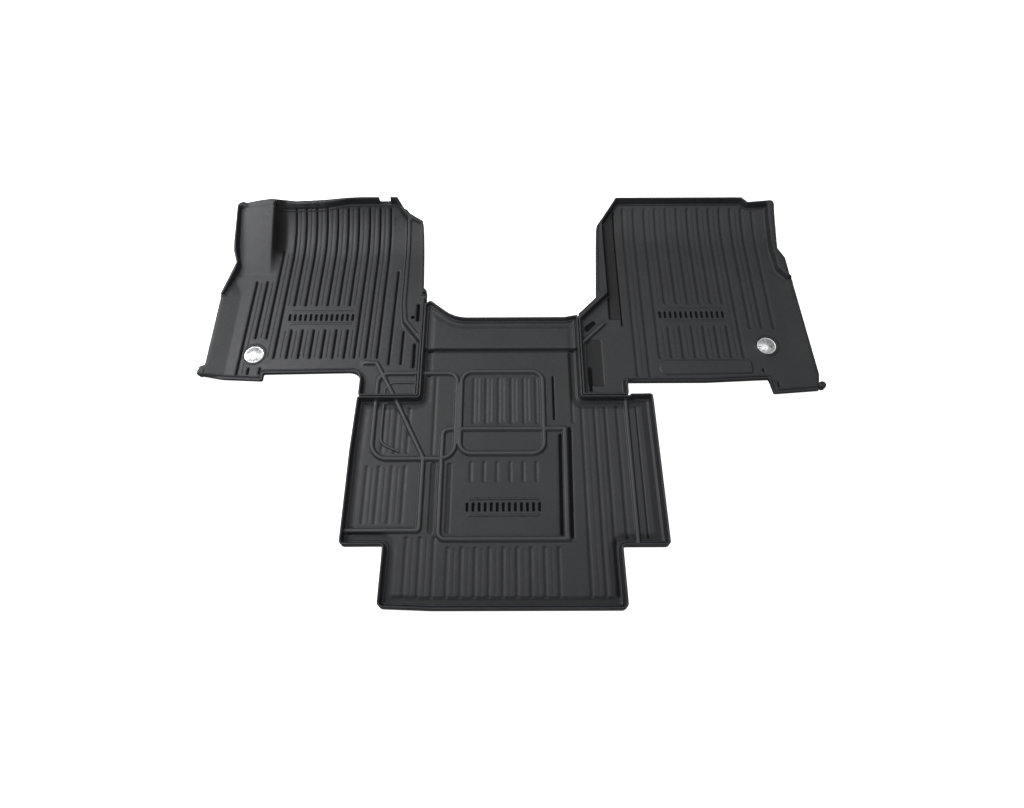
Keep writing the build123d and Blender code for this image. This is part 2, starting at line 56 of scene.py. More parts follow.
CAB_Y = centre_low.y * 1000 - CENTRE_REAR_Y

# sheet and rim
FLOOR = 7.0
SHEET = 4.0
RIM_TOP = 27.0
RIM_WALL = 5.0
JOINT_GAP = 2.0
EDGE_ROUND = 1.3
EDGE_DROP = 1.4
LOWEST_LIP = 3.0
THIN_LIP_TOP = FLOOR + 2.2
FOOT_CHAMFER = 0.8
SKIRT_STEP = 1.0

# cross-sections: distance out from the tray's edge, and share of the rim's height there
WALL_SECTION = [(-4.8, 0.0), (-3.9, 0.04), (-3.1, 0.14), (-0.8, 0.9), (0.2, 0.985), (1.5, 1.0)]
# distance in from the tray's edge, and height there: a bead along the foot of the wall
FOOT_SECTION = [(4.6, 0.0), (6.2, 2.0), (7.6, 2.6), (9.0, 2.0), (11.0, 0.0)]
# the same with a shallow trough inside the bead
TROUGH_SECTION = FOOT_SECTION + [(13.0, -1.9), (16.0, -2.5), (24.0, -2.1), (33.0, 0.0)]
# distance out from a groove's nominal edge, and share of its depth there: steep sides, then a soft shoulder
GROOVE_SECTION = [(-2.6, 1.0), (-1.8, 0.88), (-0.4, 0.26), (1.2, 0.11), (3.4, 0.035), (6.0, 0.0)]
# the same for the softer grooves of the centre and passenger mats
SOFT_SECTION = [(-4.2, 1.0), (-2.6, 0.86), (-0.4, 0.5), (2.0, 0.16), (4.6, 0.0)]
# distance from a bead's middle as a share of its half width, and share of its height there
BEAD_SECTION = [
    (0.0, 1.0),
    (0.3, 0.97),
    (0.5, 0.85),
    (0.72, 0.42),
    (0.88, 0.1),
    (1.0, 0.0),
    (1.18, -0.1),
    (1.45, 0.0),
]
# extra lines of the mesh that keep a shape's shading from spreading over the flat sheet beside it
GUARD = 1.2
# spacing of the mesh's own points on a mat's top and underside, and how far its lines stay from the edge
GRID = 11.0
EDGE_MARGIN = 0.25
UNDER_GRID = 40.0
UNDER_MARGIN = 1.5
# depth at which the shade painted into a recess is as dark as it gets; one in a rim's top only starts to
# darken at a multiple of it
FULL_SHADE_DEPTH = 4.0
RIM_SHADE_START = 1.2

# floor pattern
GROOVE = 8.4
GROOVE_DEPTH = 4.4
FINE_GROOVE = 5.5
FINE_DEPTH = 1.2
SOFT_DEPTH = 2.4
SOFT_FINE_DEPTH = 0.7
DEEPEST = 6.2
BEAD = 17.0
BEAD_RISE = 7.0
# widths and rises of a small bead and of a thin rib
SMALL_BEAD = (9.0, 3.0)
THIN_RIB = (9.0, 0.9)
# rise and side slope of a strip that is slightly sunk
SUNK = (-2.5, 5.0)
# width and depth of a deep slot
DEEP_SLOT = (10.0, DEEPEST)
PLAQUE_PITCH = 17.0
PLAQUE_SLOT_HALF = (3.6, 13.0)
PLAQUE_SLOT_DEPTH = 4.6
PLAQUE_RIB_HALF = (100.0, 3.0)
PLAQUE_RIB_RISE = 1.4
PLAQUE_RIB_ASIDE = 24.0

# where the mats meet
WING_FRONT_Y = 620.0
DRIVER_SEAM_X = -260.5
PASSENGER_SEAM_X = 237.0
SEAM_BACK = WING_FRONT_Y - JOINT_GAP / 2
SEAM_AHEAD = WING_FRONT_Y + JOINT_GAP / 2

# driver mat
DRIVER_FRONT_Y = 1350.0
DRIVER_TOE = (1146.0, 325.0)
DRIVER_PITCH = 36.1
DRIVER_LEAN = 1.0
SILL_CREASE_X = -869.0
SILL_EDGE_X = -930.0
SILL_EDGE_TOP = 20.0
SILL_UNDER_INSET = 4.0
LEDGE_X = -330.0
LEDGE_RECESS = 4.5
LEDGE_DEEPEST = 14.0
DRIVER_REAR_RIM_TOP = 13.0
DRIVER_REAR_RIM_Y = 760.0
FRONT_RIM_DEPTH = 28.0
FRONT_RIM_FOOT_Y = 1333.0
FRONT_RIM_STEP = 6.0
FRONT_RIM_SLOPE = 1.4
FRONT_RIM_X = (-800, -716, -617, -540, -465)
FRONT_RIM_TOP = (93, 80, 86, 96, 100)
NOTCH_LEFT = -428.0
NOTCH_RIGHT = -391.0
FOOT_LEFT = -906.0
FOOT_RIGHT = -788.0
FOOT_HOLLOW_LEFT = -889.0
FOOT_FLUSH_LEFT = -890.0
FOOT_FLUSH_FRONT = 1346.0
FOOT_BACK = 1091.0
FOOT_TOP = 92.0
FOOT_WALL_TOP = 99.0
FOOT_WALL_RIGHT = -884.0
FOOT_WALL_START = 12.0
FOOT_WALL_DROP = 6.0

# passenger mat
PASSENGER_FRONT_Y = 1378.0
PASSENGER_TOE = (1190.0, 510.0)
PASSENGER_PITCH = 37.7
PASSENGER_CREASE_X = 905.0
PASSENGER_SILL_SLOPE = 0.05
PASSENGER_REAR_RIM_TOP = 15.0
HEEL_PAD_RISE = 3.0
FLANGE_RECESS = 3.0

# centre mat
CENTRE_PITCH = 38.0
PANEL_RISE = 9.0

# medallions and pegs
DRIVER_BADGE = (-789.0, 778.0)
PASSENGER_BADGE = (831.0, 803.0)
BADGE_RADIUS = 30.0
BADGE_POCKET = 31.5
BADGE_RING = 38.0
BADGE_RING_RISE = 2.2
POCKET_FLOOR = 4.5
PAD_TOP = 5.5
DISC_TOP = 7.1
DRIVER_PEG = (-938.0, 711.0)
PASSENGER_PEG = (972.0, 656.0)
PEG_RADIUS = 11.5
PEG_TOP = 22.0

# Outlines: x, y and corner radius of each corner, counter-clockwise.
centre_outline = [
    (-333, -1, 16),
    (-190, -7, 150),
    (324, -8, 16),
    (322, 160, 8),
    (452, 160, 12),
    (449, 625, 9),
    (382, 624, 3),
    (379, SEAM_BACK, 2),
    (PASSENGER_SEAM_X - JOINT_GAP / 2, SEAM_BACK, 5),
    (PASSENGER_SEAM_X - JOINT_GAP / 2, 912, 6),
    (190, 903, 40),
    (-160, 903, 115),
    (-240, 970, 8),
    (DRIVER_SEAM_X + JOINT_GAP / 2, 956, 5),
    (DRIVER_SEAM_X + JOINT_GAP / 2, SEAM_BACK, 5),
    (-445, SEAM_BACK, 9),
    (-450, 440, 150),
    (-450, 165, 12),
    (-331, 165, 8),
]
driver_outline = [
    (-443, SEAM_AHEAD, 8),
    (DRIVER_SEAM_X - JOINT_GAP / 2, SEAM_AHEAD, 5),
    (DRIVER_SEAM_X - JOINT_GAP / 2, 972, 3),
    (-256, 978, 4),
    (-256, 1010, 6),
    (-268, 1022, 5),
    (-279, 1281, 5),
    (-323, 1304, 8),
    (-366, DRIVER_FRONT_Y, 6),
    (-390, DRIVER_FRONT_Y, 0),
    (-392, DRIVER_FRONT_Y, 0),
    (-427, DRIVER_FRONT_Y, 0),
    (-429, DRIVER_FRONT_Y, 0),
    (-800, DRIVER_FRONT_Y, 60),
    (-909, 1336, 14),
    (-910, 1190, 12),
    (-908, 1160, 6),
    (-896, 1120, 10),
    (-911, 1085, 10),
    (SILL_EDGE_X, 1002, 10),
    (SILL_EDGE_X, 735, 6),
    (-944, 727, 5),
    (-947, 697, 6),
    (-870, 689, 20),
    (-747, 683, 6),
    (-747, 707, 4),
    (-443, 712, 38),
]
passenger_outline = [
    (PASSENGER_SEAM_X + JOINT_GAP / 2, SEAM_AHEAD, 5),
    (376, SEAM_AHEAD, 8),
    (377, 672, 4),
    (620, 672, 0),
    (815, 681, 5),
    (823, 631, 6),
    (962, 642, 4),
    (974, 697, 10),
    (961, 1060, 3),
    (949, 1070, 6),
    (947, 1140, 12),
    (929, 1180, 12),
    (936, 1262, 20),
    (940, 1369, 14),
    (848, 1362, 6),
    (826, PASSENGER_FRONT_Y, 8),
    (387, PASSENGER_FRONT_Y, 8),
    (318, 1276, 8),
    (300, 981, 8),
    (PASSENGER_SEAM_X + JOINT_GAP / 2, 915, 5),
]

# Trays: the parts of each mat that lie at floor level, inside the rim.
driver_tray = [
    (-438, SEAM_AHEAD + RIM_WALL, 4),
    (-266.5, SEAM_AHEAD + RIM_WALL, 3),
    (-266.5, 815, 6),
    (-321, 889, 20),
    (LEDGE_X, 960, 30),
    (LEDGE_X, 1292, 8),
    (-371, DRIVER_FRONT_Y - RIM_WALL, 5),
    (-530, DRIVER_FRONT_Y - RIM_WALL, 40),
    (-622, 1333, 40),
    (-800, 1330, 20),
    (-905, 1322, 8),
    (-904, 1190, 10),
    (-901, 1160, 6),
    (-891, 1122, 8),
    (-898, 1094, 6),
    (-905, 1079, 8),
    (-923, 1003, 2),
    (-960, 1003, 2),
    (-960, 694, 2),
    (-870, 694, 20),
    (-752, 688, 6),
    (-752, 712, 4),
    (-438, 717, 42),
]
passenger_tray = [
    (243, SEAM_AHEAD + RIM_WALL, 3),
    (371, SEAM_AHEAD + RIM_WALL, 4),
    (372, 677, 8),
    (620, 677, 0),
    (819, 686, 5),
    (828, 637, 4),
    (990, 649, 4),
    (990, 1066, 4),
    (944, 1066, 8),
    (919, 1100, 10),
    (914, 1180, 20),
    (919, 1361, 8),
    (845, 1357, 6),
    (823, PASSENGER_FRONT_Y - RIM_WALL, 6),
    (391, PASSENGER_FRONT_Y - RIM_WALL, 6),
    (337, 1295, 10),
    (337, 999, 10),
    (243, 899, 4),
]


# ---- lines in plan ----------------------------------------------------------------------------


def left_of(directions):
    """Directions turned a quarter turn to the left."""
    return np.stack([-directions[:, 1], directions[:, 0]], axis=1)


# turn, in radians, below which a corner counts as straight, and the tightest radius of a shifted corner
STRAIGHT = 0.02
TIGHTEST = 0.4


def trace(corners, shift=0.0, closed=True, reach=16.0):
    """Points along a line of (x, y, corner radius) corners, moved to its left by shift.

    Their number doesn't depend on shift, so shifted copies of a line can be joined into strips.
    """
    xy = np.array([corner[:2] for corner in corners], float)
    runs = np.roll(xy, -1, axis=0) - xy
    if not closed:
        runs[-1] = runs[-2]
    lengths = np.linalg.norm(runs, axis=1)
    ahead = runs / lengths[:, None]
    behind = np.roll(ahead, 1, axis=0)
    if not closed:
        behind[0] = ahead[0]
    cross = behind[:, 0] * ahead[:, 1] - behind[:, 1] * ahead[:, 0]
    turns = np.arctan2(cross, (behind * ahead).sum(axis=1))
    left = left_of(behind)
    moved = xy + shift * (left + left_of(ahead)) / (1 + np.cos(turns))[:, None]
    arcs = []
    for i, corner in enumerate(corners):
        radius = corner[2]
        if radius == 0 or abs(turns[i]) < STRAIGHT:
            arcs.append(moved[i][None])
            continue
        bend = np.sign(turns[i])
        arc_radius = max(radius - shift * bend, TIGHTEST)
        start = moved[i] - behind[i] * arc_radius * math.tan(abs(turns[i]) / 2)
        middle = start + left[i] * bend * arc_radius
        steps = 3 if radius < 6 else 6 if radius < 40 else 16
        angles = np.linspace(0, turns[i], steps + 1)
        spoke = start - middle
        across = np.array([-spoke[1], spoke[0]])
        arcs.append(middle + np.cos(angles)[:, None] * spoke + np.sin(angles)[:, None] * across)
    points = []
    for i, arc in enumerate(arcs):
        points.extend(arc)
        if closed or i < len(arcs) - 1:
            following = arcs[(i + 1) % len(arcs)][0]
            pieces = max(1, round(lengths[i] / reach))
            points.extend(arc[-1] + (following - arc[-1]) * k / pieces for k in range(1, pieces))
    return np.array(points)


def box_corners(x_from, x_to, y_from, y_to, radius):
    """Corners of an upright rectangle in plan."""
    return [(x_from, y_from, radius), (x_to, y_from, radius), (x_to, y_to, radius), (x_from, y_to, radius)]


def circle_corners(centre, radius):
    """Corners of a rounded square that is a circle."""
    x, y = centre
    return box_corners(x - radius, x + radius, y - radius, y + radius, radius * 0.999)


def segments(line, closed):
    """Start and end of each straight piece of a line."""
    if closed:
        return zip(line, np.roll(line, -1, axis=0))
    return zip(line[:-1], line[1:])


def distance(points, line, closed):
    """Distance from each point to the nearest part of a line."""
    nearest = np.full(len(points), np.inf)
    for start, end in segments(line, closed):
        run = end - start
        share = np.clip((points - start) @ run / max(run @ run, 1e-9), 0, 1)
        nearest = np.minimum(nearest, np.linalg.norm(points - start - share[:, None] * run, axis=1))
    return nearest


def inside(points, loop):
    """Whether each point lies inside a closed line."""
    found = np.zeros(len(points), bool)
    x, y = points.T
    for (ax, ay), (bx, by) in segments(loop, True):
        if ay != by:
            found ^= ((ay > y) != (by > y)) & (x < ax + (bx - ax) * (y - ay) / (by - ay))
    return found


def depth(points, loop):
    """Distance inwards from a closed line, negative outside it."""
    return np.where(inside(points, loop), 1, -1) * distance(points, loop, True)


def section(pairs, values):
    """Height shares read off a cross-section of (distance, share) pairs."""
    at, share = zip(*pairs)
    return np.interp(values, at, share)


def ease(low, high, values):
    """Smooth step from 0 at low to 1 at high."""
    t = np.clip((values - low) / (high - low), 0, 1)
    return t * t * (3 - 2 * t)


# ---- moulded relief ---------------------------------------------------------------------------


# half width below which a groove gets no line, and share of a corner that a round end may take up
THINNEST = 0.3
ROUND_END = 0.99
# height above which a bead stands over the sheet instead of sinking into it
RIDGE_SHOWS = 0.03


class Relief:
    """Shapes moulded into a sheet: what they add to its height, and the lines that its mesh follows.

    flush is a loop in which the tray has no bead along its wall, shade gives extra darkness at a point,
    and crest is the share of bead at each point, once height has been worked out.
    """

    def __init__(self, deepest=DEEPEST, soft=False):
        self.deepest = deepest
        self.section = SOFT_SECTION if soft else GROOVE_SECTION
        self.row_depth = SOFT_DEPTH if soft else GROOVE_DEPTH
        self.fine_depth = SOFT_FINE_DEPTH if soft else FINE_DEPTH
        self.flush = None
        self.shade = None
        self.crest = None
        self.lines = []
        self.grooves = []
        self.beads = []
        self.pads = []

    def groove(self, x, y_from, y_to, width=GROOVE, groove_depth=GROOVE_DEPTH, lean=0.0, sharp=True):
        """Round-ended groove that runs along the cab, leaning lean degrees to the right."""
        shape = GROOVE_SECTION if sharp else self.section
        half = width / 2
        reach = (y_to - y_from) / 2 - half
        away = np.array([math.sin(math.radians(lean)), math.cos(math.radians(lean))])
        middle = np.array([x, (y_from + y_to) / 2])
        axis = np.array([middle - away * reach, middle + away * reach])
        scale = width / GROOVE
        self.grooves.append((axis, half, scale, groove_depth, shape))
        aside = np.array([away[1], -away[0]])
        for out in [pair[0] for pair in shape] + [shape[-1][0] + GUARD]:
            wide = half + out * scale
            if wide < THINNEST:
                continue
            ends = [-away * (reach + wide), away * (reach + wide)]
            corners = [middle + ends[i] + aside * wide * s for i, s in ((0, -1), (0, 1), (1, 1), (1, -1))]
            self.lines.append((trace([(*c, wide * ROUND_END) for c in corners], reach=20), True))

    def rows(self, xs, y_from, y_to, lean=0.0, fine=True, gaps=()):
        """Main grooves at each x, with a fine one between neighbours; a gap is x_min, x_max, y_min, y_max."""
        middles = [(a + b) / 2 for a, b in zip(xs[:-1], xs[1:])] if fine else []
        for x, is_fine in [(x, False) for x in xs] + [(x, True) for x in middles]:
            start = y_from
            runs = []
            for x_min, x_max, y_min, y_max in gaps:
                if x_min < x < x_max:
                    runs.append((start, y_min))
                    start = y_max
            for run_from, run_to in runs + [(start, y_to)]:
                if is_fine:
                    self.groove(x, run_from + 4, run_to - 4, FINE_GROOVE, self.fine_depth, lean, False)
                else:
                    self.groove(x, run_from, run_to, GROOVE, self.row_depth, lean, False)

    def bead(self, corners, width=BEAD, rise=BEAD_RISE):
        """Rounded ridge along a line."""
        half = width / 2
        self.beads.append((trace(corners, closed=False, reach=8), half, rise))
        for out in [share * half for share, _ in BEAD_SECTION[1:]] + [BEAD_SECTION[-1][0] * half + GUARD]:
            for side in (-1, 1):
                self.lines.append((trace(corners, side * out, closed=False), False))

    def pad(self, corners, rise, slope=3.0):
        """Area that is raised, or sunk where rise is negative, with sloping sides."""
        self.pads.append((trace(corners), rise, slope))
        for shift in (-slope / 2 - GUARD, -slope / 2, -slope / 4, slope / 4, slope / 2, slope / 2 + GUARD):
            self.lines.append((trace(corners, shift), True))

    def plaque(self, x, y):
        """Row of short upright slots between two thin ribs, each rib about as wide as the row."""
        wide, tall = PLAQUE_SLOT_HALF
        for k in range(-6, 7):
            middle = x + PLAQUE_PITCH * k
            slot = box_corners(middle - wide, middle + wide, y - tall, y + tall, 3.4)
            self.pad(slot, -PLAQUE_SLOT_DEPTH, 2)
        wide, tall = PLAQUE_RIB_HALF
        for middle in (y - PLAQUE_RIB_ASIDE, y + PLAQUE_RIB_ASIDE):
            rib = box_corners(x - wide, x + wide, middle - tall, middle + tall, 2.8)
            self.pad(rib, PLAQUE_RIB_RISE, 3)

    def badge_seat(self, centre):
        """Raised ring with the pocket that a medallion sits in."""
        self.pad(circle_corners(centre, BADGE_RING), BADGE_RING_RISE, 5)
        self.pad(circle_corners(centre, BADGE_POCKET), POCKET_FLOOR - FLOOR - BADGE_RING_RISE, 1.6)

    def height(self, points, base):
        """What the relief adds to the sheet's height at each point, on top of a base."""
        level = base.copy()
        for loop, rise, slope in self.pads:
            level += rise * ease(-slope / 2, slope / 2, depth(points, loop))
        cut = np.zeros(len(points))
        for axis, half, scale, groove_depth, shape in self.grooves:
            near = (distance(points, axis, False) - half) / scale
            cut = np.minimum(cut, -groove_depth * section(shape, near))
        level = np.maximum(level + cut, -self.deepest)
        ridge = np.zeros(len(points))
        moat = np.zeros(len(points))
        self.crest = np.zeros(len(points))
        for line, half, rise in self.beads:
            share = section(BEAD_SECTION, distance(points, line, False) / half)
            ridge = np.maximum(ridge, rise * share)
            moat = np.minimum(moat, rise * share)
            self.crest = np.maximum(self.crest, share)
        return np.where(ridge > RIDGE_SHOWS, np.maximum(level, ridge), level + moat)


# ---- one mat ----------------------------------------------------------------------------------


def toe_height(y, toe):
    """Height of the underside, which lies flat and then curves up the toe board as an arc."""
    toe_y, radius = toe
    return radius - np.sqrt(radius**2 - np.clip(y - toe_y, 0, radius * 0.9) ** 2)


def clipped(line, closed, loop, margin):
    """The pieces of a line that lie at least margin inside a loop, each as a list of points."""
    if closed:
        line = np.vstack([line, line[:1]])
    room = depth(line, loop) - margin
    runs = []
    run = []
    for i, point in enumerate(line):
        if i and (room[i - 1] > 0) != (room[i] > 0):
            share = room[i - 1] / (room[i - 1] - room[i])
            run.append(line[i - 1] + share * (point - line[i - 1]))
        if room[i] > 0:
            run.append(point)
        elif run:
            runs.append(run)
            run = []
    return runs + ([run] if run else [])


def triangulate(ring, lines, spacing, margin):
    """Points and triangles of the area inside a ring, following the lines, and the ring's point numbers."""
    points = [Vector(p) for p in ring]
    edges = [(i, (i + 1) % len(ring)) for i in range(len(ring))]
    for line, closed in lines:
        for run in clipped(line, closed, ring, margin):
            first = len(points)
            points.extend(Vector(p) for p in run)
            edges.extend((first + i, first + i + 1) for i in range(len(run) - 1))
    low, high = ring.min(axis=0), ring.max(axis=0)
    across = np.arange(low[0] + spacing / 2, high[0], spacing)
    along = np.arange(low[1] + spacing / 2, high[1], spacing)
    grid = np.array([(x, y) for y in along for x in across])
    points.extend(Vector(p) for p in grid[depth(grid, ring) > spacing / 2])
    found, _, faces, origin, _, _ = delaunay_2d_cdt(points, edges, [], 0, 1e-4)
    plan = np.array([tuple(p) for p in found])
    middles = plan[np.array(faces)].mean(axis=1)
    kept = [face for face, is_in in zip(faces, inside(middles, ring)) if is_in]
    place = {old: new for new, olds in enumerate(origin) for old in olds}
    return plan, kept, [place[i] for i in range(len(ring))]


def build_piece(name, body, vertices, faces, material, painted_light_shares=()):
    """Smooth-shaded mesh object from points in cab millimetres, riding on a body."""
    mesh = bpy.data.meshes.new(name)
    places = np.array(vertices, float) + (CAB_X, CAB_Y, 0)
    mesh.from_pydata((places / 1000).tolist(), [], faces)
    # point attributes that carry shares of painted shade and painted highlight
    for attribute, values in painted_light_shares:
        shares = np.zeros(len(vertices))
        shares[: len(values)] = values
        mesh.attributes.new(attribute, "FLOAT", "POINT").data.foreach_set("value", shares)
    work = bmesh.new()
    work.from_mesh(mesh)
    loose = [v for v in work.verts if not v.link_faces]
    bmesh.ops.delete(work, geom=loose, context="VERTS")
    bmesh.ops.recalc_face_normals(work, faces=work.faces)
    work.to_mesh(mesh)
    work.free()
    mesh.shade_smooth()
    mesh.materials.append(material)
    piece = bpy.data.objects.new(name, mesh)
    bpy.context.scene.collection.objects.link(piece)
    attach(piece, body)
    return piece


def build_mat(name, body, outline, tray, foot_section, floor, rim, relief, crown, under, under_lines):
    """Closed skin of a mat: the moulded top, the plain underside and the wall round the edge between them.

    The relief is moulded into the tray's floor, and the crown into the rim's top.
    """
    ring = trace(outline)
    lines = [(trace(outline, inset), True) for inset in (EDGE_ROUND * 0.45, EDGE_ROUND)]
    lines += [(trace(tray, -out), True) for out, _ in WALL_SECTION]
    lines += [(trace(tray, into), True) for into, _ in foot_section + [(foot_section[-1][0] + GUARD, 0)]]
    top, top_faces, top_ring = triangulate(ring, lines + relief.lines + crown.lines, GRID, EDGE_MARGIN)
    room = depth(top, trace(tray))
    wall_share = section(WALL_SECTION, -room)
    foot = section(foot_section, room)
    if relief.flush is not None:
        foot = foot * ease(2, -2, depth(top, relief.flush))
    tray_relief = relief.height(top, foot) * (1 - wall_share)
    rim_relief = crown.height(top, np.zeros(len(top))) * wall_share
    outer = np.maximum(rim(top), floor(top) - FLOOR + LOWEST_LIP)
    # painted shade: recesses in the tray and the rim, and the relief's own shade share, darken the rubber's
    # colour through this share
    recess_shade = np.clip(-tray_relief / FULL_SHADE_DEPTH, 0, 1)
    recess_shade = np.maximum(recess_shade, np.clip(-rim_relief / FULL_SHADE_DEPTH - RIM_SHADE_START, 0, 1))
    if relief.shade is not None:
        recess_shade = np.maximum(recess_shade, relief.shade(top))
    # painted highlight share: bead crests in the tray, lightened in the material
    crest = relief.crest * (1 - wall_share)
    rounding = np.clip(1 - depth(top, ring) / EDGE_ROUND, 0, 1)
    height = floor(top) + (outer - floor(top)) * wall_share + tray_relief + rim_relief
    height -= EDGE_DROP * rounding**2
    base_loop = trace(outline, FOOT_CHAMFER)
    base, base_faces, base_ring = triangulate(base_loop, under_lines, UNDER_GRID, UNDER_MARGIN)
    vertices = np.vstack([np.c_[top, height], np.c_[base, under(base)]]).tolist()
    shift = len(top)
    faces = [tuple(face) for face in top_faces]
    faces += [tuple(shift + i for i in reversed(face)) for face in base_faces]
    low = under(ring)
    high = np.array([vertices[i][2] for i in top_ring])
    rings = [top_ring]
    for share, lift in ((1.0, -SKIRT_STEP), (0.0, FOOT_CHAMFER + SKIRT_STEP), (0.0, FOOT_CHAMFER)):
        first = len(vertices)
        heights = low + (high - low) * share + lift
        vertices.extend(np.c_[ring, heights].tolist())
        rings.append(list(range(first, len(vertices))))
    rings.append([shift + i for i in base_ring])
    count = len(ring)
    for upper, lower in zip(rings[:-1], rings[1:]):
        for i in range(count):
            j = (i + 1) % count
            faces.append((upper[i], lower[i], lower[j], upper[j]))
    # painted shade in recesses and a painted highlight on bead crests, carried to the material as point
    # attributes
    painted_light_shares = (("recess_shade", recess_shade), ("crest", crest))
    mat = build_piece(name + "_skin", body, vertices, faces, rubber, painted_light_shares)
    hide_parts(name)
    return mat


def lathe(name, body, centre, profile, material, steps=64):
    """Closed turned piece with a profile of (radius, z) points that starts and ends on its axis."""
    x, y = centre
    vertices = [(x, y, profile[0][1])]
    for radius, z in profile[1:-1]:
        for k in range(steps):
            angle = 2 * math.pi * k / steps
            vertices.append((x + radius * math.cos(angle), y + radius * math.sin(angle), z))
    vertices.append((x, y, profile[-1][1]))
    last = len(vertices) - 1
    faces = []
    for k in range(steps):
        following = (k + 1) % steps
        faces.append((0, 1 + following, 1 + k))
        faces.append((last, last - steps + k, last - steps + following))
        for row in range(len(profile) - 3):
            near = 1 + row * steps
            faces.append((near + k, near + following, near + steps + following, near + steps + k))
    return build_piece(name, body, vertices, faces, material)


# ---- materials --------------------------------------------------------------------------------


class Nodes:
    """Small helper that adds and links the nodes of one material."""

    def __init__(self, name):
        self.material = bpy.data.materials.new(name)
        self.material.use_nodes = True
        self.tree = self.material.node_tree
        self.shader = self.tree.nodes["Principled BSDF"]
        self.coordinates = self.add("ShaderNodeTexCoord").outputs["Object"]

    def add(self, kind, **settings):
        node = self.tree.nodes.new(kind)
        for key, value in settings.items():
            setattr(node, key, value)
        return node

    def link(self, source, target):
        self.tree.links.new(source, target)

    def noise(self, scale, detail=4.0, roughness=0.5, stretch=(1, 1, 1)):
        """Noise with a scale in cells per metre."""
        mapping = self.add("ShaderNodeMapping")
        mapping.inputs["Scale"].default_value = stretch
        self.link(self.coordinates, mapping.inputs["Vector"])
        node = self.add("ShaderNodeTexNoise")
        node.inputs["Scale"].default_value = scale
        node.inputs["Detail"].default_value = detail
        node.inputs["Roughness"].default_value = roughness
        self.link(mapping.outputs["Vector"], node.inputs["Vector"])
        return node.outputs["Fac"]

    def spread(self, value, low, high, to_low, to_high):
        """The value's range from low to high spread over to_low to to_high."""
        node = self.add("ShaderNodeMapRange")
        for socket, number in zip(("From Min", "From Max", "To Min", "To Max"), (low, high, to_low, to_high)):
            node.inputs[socket].default_value = number
        self.link(value, node.inputs["Value"])
        return node.outputs["Result"]

    def blend(self, share, first, second):
        """Mix of two colours, each a colour or a socket."""
        node = self.add("ShaderNodeMix", data_type="RGBA")
        self.link(share, node.inputs["Factor"])
        for socket, colour in ((node.inputs[6], first), (node.inputs[7], second)):
            if isinstance(colour, tuple):
                socket.default_value = (*colour, 1)
            else:
                self.link(colour, socket)
        return node.outputs[2]

    def bump(self, height, strength, size, before=None):
        """Bump from a height, size in metres, on top of an earlier bump."""
        node = self.add("ShaderNodeBump")
        node.inputs["Strength"].default_value = strength
        node.inputs["Distance"].default_value = size
        self.link(height, node.inputs["Height"])
        if before is not None:
            self.link(before, node.inputs["Normal"])
        return node.outputs["Normal"]

    def set(self, socket, value):
        target = self.shader.inputs[socket]
        if hasattr(value, "is_linked"):
            self.link(value, target)
        elif isinstance(value, tuple):
            target.default_value = (*value, 1)
        else:
            target.default_value = value


# lighter grey of rubbed edges, also painted onto bead crests as a highlight
RUBBED_AND_HIGHLIGHT_GREY = (0.06, 0.062, 0.067)


def make_rubber():
    """Dark grey moulded rubber: pebble grain, a satin skin, mottled gloss, rubbed edges, a painted highlight
    on bead crests and painted shade in recesses.
    """
    nodes = Nodes("moulded_rubber")
    cloud = nodes.noise(7.0, 3.0)
    mottle = nodes.noise(90.0, 5.0, 0.6)
    colour = nodes.blend(nodes.spread(mottle, 0.35, 0.65, 0, 1), (0.017, 0.0175, 0.02), (0.024, 0.025, 0.028))
    bloom = nodes.spread(cloud, 0.4, 0.7, 0.0, 0.35)
    colour = nodes.blend(bloom, colour, (0.033, 0.034, 0.038))
    worn = nodes.spread(nodes.add("ShaderNodeNewGeometry").outputs["Pointiness"], 0.52, 0.62, 0.0, 0.5)
    colour = nodes.blend(worn, colour, RUBBED_AND_HIGHLIGHT_GREY)
    # painted highlight: bead crests lightened towards the lighter grey
    crest = nodes.add("ShaderNodeAttribute", attribute_name="crest").outputs["Fac"]
    colour = nodes.blend(nodes.spread(crest, 0, 1, 0.0, 0.55), colour, RUBBED_AND_HIGHLIGHT_GREY)
    # painted shade: the rubber's colour goes near black, and its roughness up, where the recess shade share
    # is high
    recess_shade = nodes.add("ShaderNodeAttribute", attribute_name="recess_shade").outputs["Fac"]
    nodes.set("Base Color", nodes.blend(recess_shade, colour, (0.002, 0.002, 0.0025)))
    polish = nodes.spread(mottle, 0.3, 0.7, 0.44, 0.56)
    rough = nodes.add("ShaderNodeMath", operation="MAXIMUM")
    nodes.link(polish, rough.inputs[0])
    nodes.link(recess_shade, rough.inputs[1])
    nodes.set("Roughness", rough.outputs[0])
    nodes.set("Specular IOR Level", 0.38)
    pebbles = nodes.add("ShaderNodeTexVoronoi", feature="SMOOTH_F1")
    pebbles.inputs["Scale"].default_value = 620.0
    nodes.link(nodes.coordinates, pebbles.inputs["Vector"])
    grain = nodes.bump(pebbles.outputs["Distance"], 0.35, 0.0004)
    grain = nodes.bump(nodes.noise(2400.0, 2.0), 0.2, 0.0001, grain)
    grain = nodes.bump(nodes.noise(28.0, 2.0), 0.25, 0.0012, grain)
    nodes.set("Normal", grain)
    return nodes.material


def make_metal():
    """Satin silver disc with a fine turned finish."""
    nodes = Nodes("satin_metal")
    haze = nodes.noise(160.0, 4.0)
    nodes.set("Metallic", 1.0)
    nodes.set("Base Color", nodes.blend(haze, (0.86, 0.86, 0.87), (0.93, 0.93, 0.93)))
    nodes.set("Roughness", nodes.spread(haze, 0.3, 0.7, 0.26, 0.38))
    nodes.set("Normal", nodes.bump(nodes.noise(900.0, 2.0, 0.5, (1, 6, 1)), 0.08, 0.0002))
    return nodes.material


